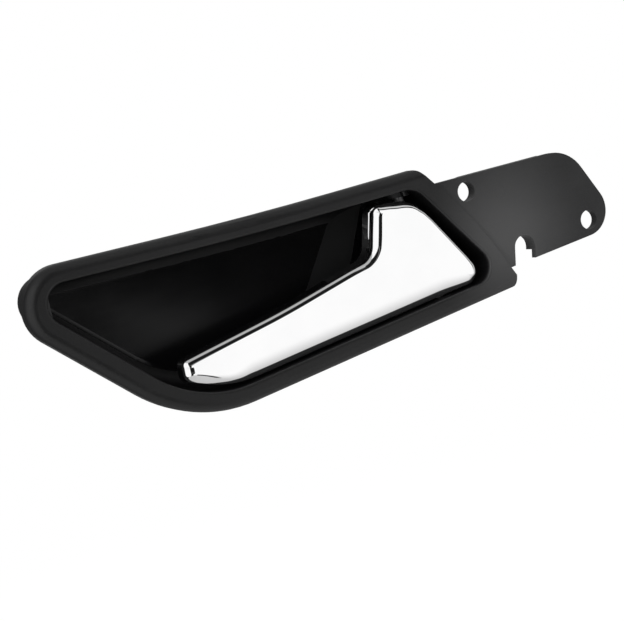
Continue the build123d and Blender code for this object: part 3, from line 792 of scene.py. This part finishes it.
@dataclass
class LeverShell:
    """The chrome shell: a flat face whose edge rolls over more in some places than in others.

    The outline's points stand about a spacing apart on its rounds, and further apart on straight runs.
    The sides follow each other round it, and a station counts at the outline's point nearest to it.
    """

    spacing: float = 0.6 * MM
    run_stretch: float = 2.0
    fewest_run_steps: int = 2
    fewest_corner_steps: int = 4
    round_steps: int = 12
    wall: float = 1.8 * MM
    back_x: float = -50.0 * MM
    back_depth: float = 9.4 * MM
    back_slope: float = math.radians(1.9)
    edge_round: float = 0.4 * MM
    edge_steps: int = 4
    bead_gap: float = 0.15 * MM
    bead_width: float = 0.6 * MM
    bead_steps: int = 4
    gap_share: float = 0.2
    bead_share: float = 0.6
    inner_share: float = 0.6
    face_guard: float = 0.1 * MM
    sharp_angle: float = math.radians(40.0)
    sides: tuple[Side, ...] = (
        Side(-131.506, -20.0, 90.0, 2.8),
        Side(-131.506, -23.368, -20.6, 2.8),
        Side(-81.322, -25.388, 6.05, 40.0),
        Side(-32.248, -1.801, -56.0, 4.2),
        Side(-50.0, 12.75, -5.0, 12.0),
        Side(-58.2, 6.375, 75.0, 2.8),
        Side(-95.0, -10.6, 13.2, 6.5),
        Side(-95.0, -10.6, 10.2, 300.0),
    )
    stations: tuple[Station, ...] = (
        Station(-131.5, -20.3, 3.6, 64.0),
        Station(-130.2, -17.5, 2.6, 62.0),
        Station(-124.0, -15.7, 2.6, 60.0),
        Station(-70.0, -4.9, 2.6, 60.0),
        Station(-61.8, -1.0, 2.9, 75.0),
        Station(-59.8, 1.6, 3.1),
        Station(-59.0, 4.0, 3.2, bead=0.25),
        Station(-57.3, 10.5, 3.1, bead=0.3),
        Station(-56.0, 12.6, 1.8, 60.0, 0.3, 0.3),
        Station(-53.0, 12.9, 1.6, 46.0, 1.1),
        Station(-47.0, 12.5, 1.6, 46.0, 1.6),
        Station(-40.0, 9.0, 1.5, 50.0, 0.9),
        Station(-36.0, 3.5, 1.2, 60.0),
        Station(-27.0, -9.8, 1.2, 60.0),
        Station(-24.2, -16.4, 2.6, 50.0),
        Station(-27.0, -19.4, 7.0, 35.0),
        Station(-38.0, -20.8, 10.4, 35.0),
        Station(-80.0, -25.2, 10.4, 35.0),
        Station(-108.0, -28.1, 10.0, 35.0),
        Station(-118.0, -28.0, 4.5, 26.0, 1.2),
        Station(-127.0, -25.0, 1.4, 22.0, 2.3),
        Station(-130.6, -23.2, 1.8, 30.0, 1.8),
    )

    def outline(self) -> tuple[list[Vector], list[Vector]]:
        """Draws the outline through its rounded corners.

        Returns:
            Points round the outline, and the direction into it at each one.
        """
        places = [self.sides[i - 1].meet(side) for i, side in enumerate(self.sides)]
        points: list[Vector] = []
        inward: list[Vector] = []
        for i, side in enumerate(self.sides):
            radius = side.round * MM
            before, place, after = places[i - 1], places[i], places[(i + 1) % len(places)]
            came, goes = (place - before).normalized(), (after - place).normalized()
            turn = math.atan2(came.x * goes.z - came.z * goes.x, came.dot(goes))
            reach = radius * math.tan(abs(turn) / 2)
            start = place - came * reach
            if points:
                self.add_run(points, inward, start)
            into = Vector((-came.z, 0.0, came.x))
            centre = start + into * math.copysign(radius, turn)
            steps = max(self.fewest_corner_steps, round(abs(turn) * radius / self.spacing))
            for k in range(steps + 1):
                bend = Matrix.Rotation(-turn * k / steps, 3, "Y")
                points.append(centre + bend @ (start - centre))
                inward.append(bend @ into)
        self.add_run(points, inward, points[0])
        return points, inward

    def add_run(self, points: list[Vector], inward: list[Vector], end: Vector) -> None:
        """Adds the points of a straight side between two corners.

        Args:
            points: The outline so far, which grows.
            inward: The directions into it, which grow too.
            end: Where the side ends; that point itself isn't added.
        """
        start, into = points[-1], inward[-1]
        steps = max(self.fewest_run_steps, round((end - start).length / (self.run_stretch * self.spacing)))
        for k in range(1, steps):
            points.append(start.lerp(end, k / steps))
            inward.append(into)

    def back_at(self, x: float) -> float:
        """Gives the depth of the shell's slanted back at a place along it."""
        return self.back_depth + (x - self.back_x) * math.tan(self.back_slope)

    def along_outline(self, points: list[Vector]) -> list[Station]:
        """Spreads the stations' sections along the outline, easing from each to the next.

        Args:
            points: The spaced outline.

        Returns:
            A section for each point.
        """
        count = len(points)
        placed = []
        for station in self.stations:
            spot = Vector((station.x, 0.0, station.z)) * MM
            index = min(range(count), key=lambda i: (points[i] - spot).length_squared)
            placed.append((index, station))
        placed.sort(key=lambda pair: pair[0])
        placed.append((placed[0][0] + count, placed[0][1]))
        sections = [placed[0][1]] * count
        for (start, first), (end, second) in zip(placed, placed[1:]):
            for i in range(start, end):
                share = (i - start) / (end - start)
                eased = share * share * (3.0 - 2.0 * share)
                sections[i % count] = first.toward(second, eased)
        return sections

    def roll(self, section: Station, front: float) -> list[Span]:
        """Draws the round, the bevel and the small round behind it.

        Args:
            section: The section's sizes.
            front: Depth of the face.

        Returns:
            Insets and depths, from the face to the wall.
        """
        turn = math.radians(section.turn)
        bend, bevel, edge = section.round * MM, section.bevel * MM, self.edge_round
        reach = bend * math.sin(turn) + bevel * math.cos(turn) + edge * (1.0 - math.sin(turn))
        over: list[Span] = []
        for step in range(self.round_steps + 1):
            angle = turn * step / self.round_steps
            over.append((reach - bend * math.sin(angle), front + bend * (1.0 - math.cos(angle))))
        inset, depth = over[-1]
        inset, depth = inset - bevel * math.cos(turn), depth + bevel * math.sin(turn)
        for step in range(self.edge_steps + 1):
            angle = turn + (math.pi / 2 - turn) * step / self.edge_steps
            over.append((
                inset - edge * (math.sin(angle) - math.sin(turn)),
                depth + edge * (math.cos(turn) - math.cos(angle)),
            ))
        return over

    def profile(self, section: Station, front: float, back: float) -> list[Span]:
        """Draws the whole section of the shell's edge.

        Args:
            section: The section's sizes.
            front: Depth of the face.
            back: Depth of the shell's back.

        Returns:
            Insets and depths, from the face over the edge, down the wall and round the rim to the pocket.
        """
        over = self.roll(section, front)
        reach, wall_start = over[0][0], over[-1][1]
        room = back - wall_start
        gap = min(self.bead_gap, self.gap_share * room)
        width = min(self.bead_width, self.bead_share * room)
        for step in range(self.bead_steps + 1):
            share = step / self.bead_steps
            over.append((-section.bead * MM * math.sin(share * math.pi), wall_start + gap + share * width))
        pocket = max(self.wall, reach * self.inner_share)
        rim = [(0.0, back), (self.wall, back), (pocket, front + self.wall)]
        return [(reach + self.face_guard, front)] + over + rim

    def rings(self, front: float) -> list[list[Vector]]:
        """Places the profile round the outline.

        Args:
            front: Depth of the face.

        Returns:
            Closed rings of points, from the face to the pocket.
        """
        points, inward = self.outline()
        sections = self.along_outline(points)
        profiles = [self.profile(c, front, self.back_at(p.x)) for c, p in zip(sections, points)]
        rings = []
        for level in zip(*profiles):
            ring = []
            for point, into, (inset, depth) in zip(points, inward, level):
                ring.append(Vector((point.x, 0.0, point.z)) + into * inset + Vector((0.0, depth, 0.0)))
            rings.append(ring)
        return rings

    def skin(self, rings: list[list[Vector]]) -> bpy.types.Mesh:
        """Spans faces between the rings and over the first and last one.

        Args:
            rings: The rings, all with as many points.

        Returns:
            The closed mesh, shaded smooth but for its sharp edges.
        """
        mesh = bpy.data.meshes.new("lever_plated_shell")
        count = len(rings[0])
        faces = [tuple(range(count))]
        for k in range(len(rings) - 1):
            low, high = k * count, (k + 1) * count
            for i in range(count):
                j = (i + 1) % count
                faces.append((low + i, low + j, high + j, high + i))
        last = (len(rings) - 1) * count
        faces.append(tuple(range(last, last + count)))
        mesh.from_pydata([point for ring in rings for point in ring], [], faces)
        shape = bmesh.new()
        shape.from_mesh(mesh)
        bmesh.ops.recalc_face_normals(shape, faces=shape.faces)
        for edge in shape.edges:
            edge.smooth = edge.calc_face_angle(0.0) < self.sharp_angle
        for face in shape.faces:
            face.smooth = True
        shape.to_mesh(mesh)
        shape.free()
        return mesh

    def build(self, material: bpy.types.Material) -> bpy.types.Object:
        """Builds the shell and puts it in place of the CAD node.

        Args:
            material: The plating.

        Returns:
            The piece.
        """
        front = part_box("lever_shell")[0].y
        mesh = self.skin(self.rings(front))
        mesh.materials.append(material)
        piece = bpy.data.objects.new("lever_plated_shell", mesh)
        bpy.context.scene.collection.objects.link(piece)
        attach(piece, Body.LEVER.value)
        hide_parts("lever_shell")
        LOG.info("built %s with %d faces", piece.name, len(mesh.polygons))
        return piece


@dataclass
class ReturnSpring:
    """The torsion spring, copied whole from the CAD node, with its coil between a leg on the housing and a
    leg on the lever.

    The coil's ends are heights along the hinge, from the joint's place; nothing here uses them or the
    joint.
    """

    joint: str = "lever_hinge"
    coil_low: float = -3.2 * MM
    coil_high: float = 0.8 * MM

    def build(self, material: bpy.types.Material) -> bpy.types.Object:
        """Builds the spring and puts it in place of the CAD node.

        Args:
            material: The wire's material.

        Returns:
            The spring.
        """
        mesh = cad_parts["return_spring"].data.copy()
        mesh.materials.clear()
        mesh.materials.append(material)
        piece = bpy.data.objects.new("return_spring_wire", mesh)
        bpy.context.scene.collection.objects.link(piece)
        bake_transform(piece)
        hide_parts("return_spring")
        LOG.info("built %s with %d faces", piece.name, len(mesh.polygons))
        return piece


def direction(azimuth: float, elevation: float) -> Vector:
    """Unit vector away from the handle.

    Args:
        azimuth: Degrees from the front towards the flange.
        elevation: Degrees above the horizon.

    Returns:
        The direction.
    """
    a, e = math.radians(azimuth), math.radians(elevation)
    return Vector((math.sin(a) * math.cos(e), -math.cos(a) * math.cos(e), math.sin(e)))


@dataclass(frozen=True)
class Panel:
    """A part of the room that shows in reflections, between soft edges, in degrees."""

    azimuth: Span
    elevation: Span
    level: float
    soft: float = 2.0


@dataclass(frozen=True)
class Softbox:
    """A soft rectangular lamp."""

    name: str
    azimuth: float
    elevation: float
    width: float
    height: float
    power: float
    distance: float = 1.3


@dataclass
class Studio:
    """Camera, floor, world and lamps. Later panels lie over earlier ones."""

    camera_place: Place = (-0.31405, -0.4679, 0.05865)
    camera_right: Place = (0.8642, -0.4538, -0.2173)
    camera_up: Place = (0.2554, 0.0236, 0.9666)
    lens: float = 98.08
    sensor: float = 36.0
    clip_start: float = 0.01
    floor_drop: float = 0.12
    floor_half: float = 3.0
    floor_colours: tuple[Colour, Colour] = (grey(0.86), grey(0.9))
    floor_roughness: float = 0.9
    mottle_scale: float = 9.0
    mottle_detail: float = 3.0
    shadow_span: Span = (0.1, 0.4)
    shadow_glow: float = 0.8
    ambient: float = 0.55
    centre: Place = (-0.085, 0.0, -0.005)
    low_level: float = 0.55
    low_span: Span = (-60.0, -8.5)
    panels: tuple[Panel, ...] = (
        Panel((-20.0, 19.0), (-42.0, 8.0), 0.01, 1.5),
        Panel((-20.0, 27.0), (8.0, 53.0), 0.01, 3.0),
        Panel((50.0, 170.0), (-50.0, 22.0), 0.5),
        Panel((27.0, 170.0), (22.0, 100.0), 0.6),
        Panel((27.0, 50.0), (4.0, 24.0), 0.01),
        Panel((37.0, 50.0), (-8.0, 8.0), 0.01),
        Panel((-200.0, 200.0), (53.0, 100.0), 0.45, 3.0),
        Panel((-180.0, -112.0), (-60.0, 50.0), 0.12, 6.0),
    )
    softboxes: tuple[Softbox, ...] = (
        Softbox("key", -62.0, 30.0, 0.9, 0.9, 9.0),
        Softbox("fill", 45.0, 20.0, 0.8, 0.8, 5.0),
        Softbox("top", 20.0, 78.0, 1.0, 0.8, 7.0),
        Softbox("rear", 170.0, 35.0, 1.0, 0.8, 6.0),
    )

    def build(self) -> None:
        """Builds the whole studio."""
        self.build_camera()
        self.build_world()
        self.build_floor()
        for softbox in self.softboxes:
            self.build_softbox(softbox)
        bpy.context.scene.view_settings.view_transform = "Standard"

    def build_camera(self) -> None:
        """Places the camera where the photograph was taken from."""
        data = bpy.data.cameras.new("camera")
        data.lens = self.lens
        data.sensor_width = self.sensor
        data.clip_start = self.clip_start
        camera = bpy.data.objects.new("camera", data)
        bpy.context.scene.collection.objects.link(camera)
        right = Vector(self.camera_right).normalized()
        back = right.cross(Vector(self.camera_up)).normalized()
        up = back.cross(right)
        turn = Matrix((right, up, back)).transposed().to_4x4()
        camera.matrix_world = Matrix.Translation(self.camera_place) @ turn
        bpy.context.scene.camera = camera

    @staticmethod
    def seen_mask(graph: Graph) -> tuple[Socket, Socket]:
        """Adds masks of the rays that see the background itself.

        Args:
            graph: The graph of a world or floor material.

        Returns:
            1 for camera and clear rays, and 1 for mirror rays.
        """
        path = graph.add("LightPath")
        plain = graph.math("MAXIMUM", path.outputs["Is Camera Ray"], path.outputs["Is Transmission Ray"])
        return plain, path.outputs["Is Glossy Ray"]

    def build_world(self) -> None:
        """Builds a white world that lights softly and shows the room's panels in mirrors."""
        world = bpy.data.worlds.new("studio")
        bpy.context.scene.world = world
        world.use_nodes = True
        graph = Graph(world.node_tree)
        background = next(n for n in world.node_tree.nodes if n.type == "BACKGROUND")
        background.inputs["Color"].default_value = grey(1.0)
        plain, mirror = self.seen_mask(graph)
        lit = graph.blend(mirror, self.ambient, self.panorama(graph))
        graph.feed(background.inputs["Strength"], graph.blend(plain, lit, 1.0))

    def panorama(self, graph: Graph) -> Socket:
        """Adds the room that mirrors show, as levels by direction.

        Args:
            graph: The world's graph.

        Returns:
            The level.
        """
        split = graph.add("SeparateXYZ")
        graph.feed(split.inputs[0], graph.add("TexCoord").outputs["Generated"])
        sideways, away, up = split.outputs
        towards = graph.math("MULTIPLY", away, -1.0)
        azimuth = graph.math("DEGREES", graph.math("ARCTAN2", sideways, towards))
        elevation = graph.math("DEGREES", graph.math("ARCSINE", up))
        level = graph.ramp(elevation, *self.low_span, start=self.low_level)
        for panel in self.panels:
            mask = 1.0
            for angle, (low, high) in ((azimuth, panel.azimuth), (elevation, panel.elevation)):
                enter = graph.ramp(angle, low - panel.soft, low + panel.soft)
                leave = graph.ramp(angle, high - panel.soft, high + panel.soft, start=1.0, end=0.0)
                mask = graph.math("MULTIPLY", mask, graph.math("MULTIPLY", enter, leave))
            level = graph.blend(mask, level, panel.level)
        return level

    def build_floor(self) -> None:
        """Builds the pale floor, which glows white to the camera, a little less under the handle."""
        low = CAD_BOX[0].z - self.floor_drop
        half = self.floor_half
        mesh = bpy.data.meshes.new("floor")
        corners = [(-half, -half, low), (half, -half, low), (half, half, low), (-half, half, low)]
        mesh.from_pydata(corners, [], [(0, 1, 2, 3)])
        floor = bpy.data.objects.new("floor", mesh)
        bpy.context.scene.collection.objects.link(floor)
        material, graph, shader, point = start_material("pale_floor")
        mottle = graph.noise(point, self.mottle_scale, self.mottle_detail)
        graph.feed(shader.inputs["Base Color"], graph.mix(mottle, *self.floor_colours))
        shader.inputs["Roughness"].default_value = self.floor_roughness
        glow = graph.add("Emission")
        blend = graph.add("MixShader")
        plain, _ = self.seen_mask(graph)
        away = graph.vector("DISTANCE", point, (*self.centre[:2], low)).outputs["Value"]
        white = graph.ramp(away, *self.shadow_span, start=self.shadow_glow)
        graph.feed(blend.inputs[0], graph.math("MULTIPLY", plain, white))
        graph.feed(blend.inputs[1], shader.outputs[0])
        graph.feed(blend.inputs[2], glow.outputs[0])
        output = next(n for n in material.node_tree.nodes if n.type == "OUTPUT_MATERIAL")
        graph.feed(output.inputs["Surface"], blend.outputs[0])
        mesh.materials.append(material)
        floor.visible_glossy = False

    def build_softbox(self, softbox: Softbox) -> None:
        """Builds one lamp.

        Args:
            softbox: The lamp's size, place and power.
        """
        data = bpy.data.lights.new(softbox.name, "AREA")
        data.shape = "RECTANGLE"
        data.size = softbox.width
        data.size_y = softbox.height
        data.energy = softbox.power
        lamp = bpy.data.objects.new(softbox.name, data)
        bpy.context.scene.collection.objects.link(lamp)
        away = direction(softbox.azimuth, softbox.elevation)
        lamp.location = Vector(self.centre) + away * softbox.distance
        lamp.rotation_mode = "QUATERNION"
        lamp.rotation_quaternion = away.to_track_quat("Z", "Y")
        lamp.visible_glossy = False


def main() -> None:
    """Builds the scene in order."""
    logging.basicConfig(level=logging.INFO, format="%(name)s: %(message)s")
    effects = Effects()
    dress(HousingFinish().build(effects), "housing")
    LeverShell().build(ChromeFinish().build(effects))
    dress(CARRIER_MOULDING.build(effects), "lever_carrier")
    dress(BEARING_PLASTIC.build(effects), "hinge_bush_upper", "hinge_bush_lower")
    dress(BUFFER_RUBBER.build(effects), "rest_buffer", "travel_buffer")
    ReturnSpring().build(SPRING_WIRE.build(effects))
    dress(ZINC_PLATE.build(effects), "carrier_screws")
    dress(GROUND_STEEL.build(effects), "hinge_pin")
    Studio().build()


if __name__ == "__main__":
    main()
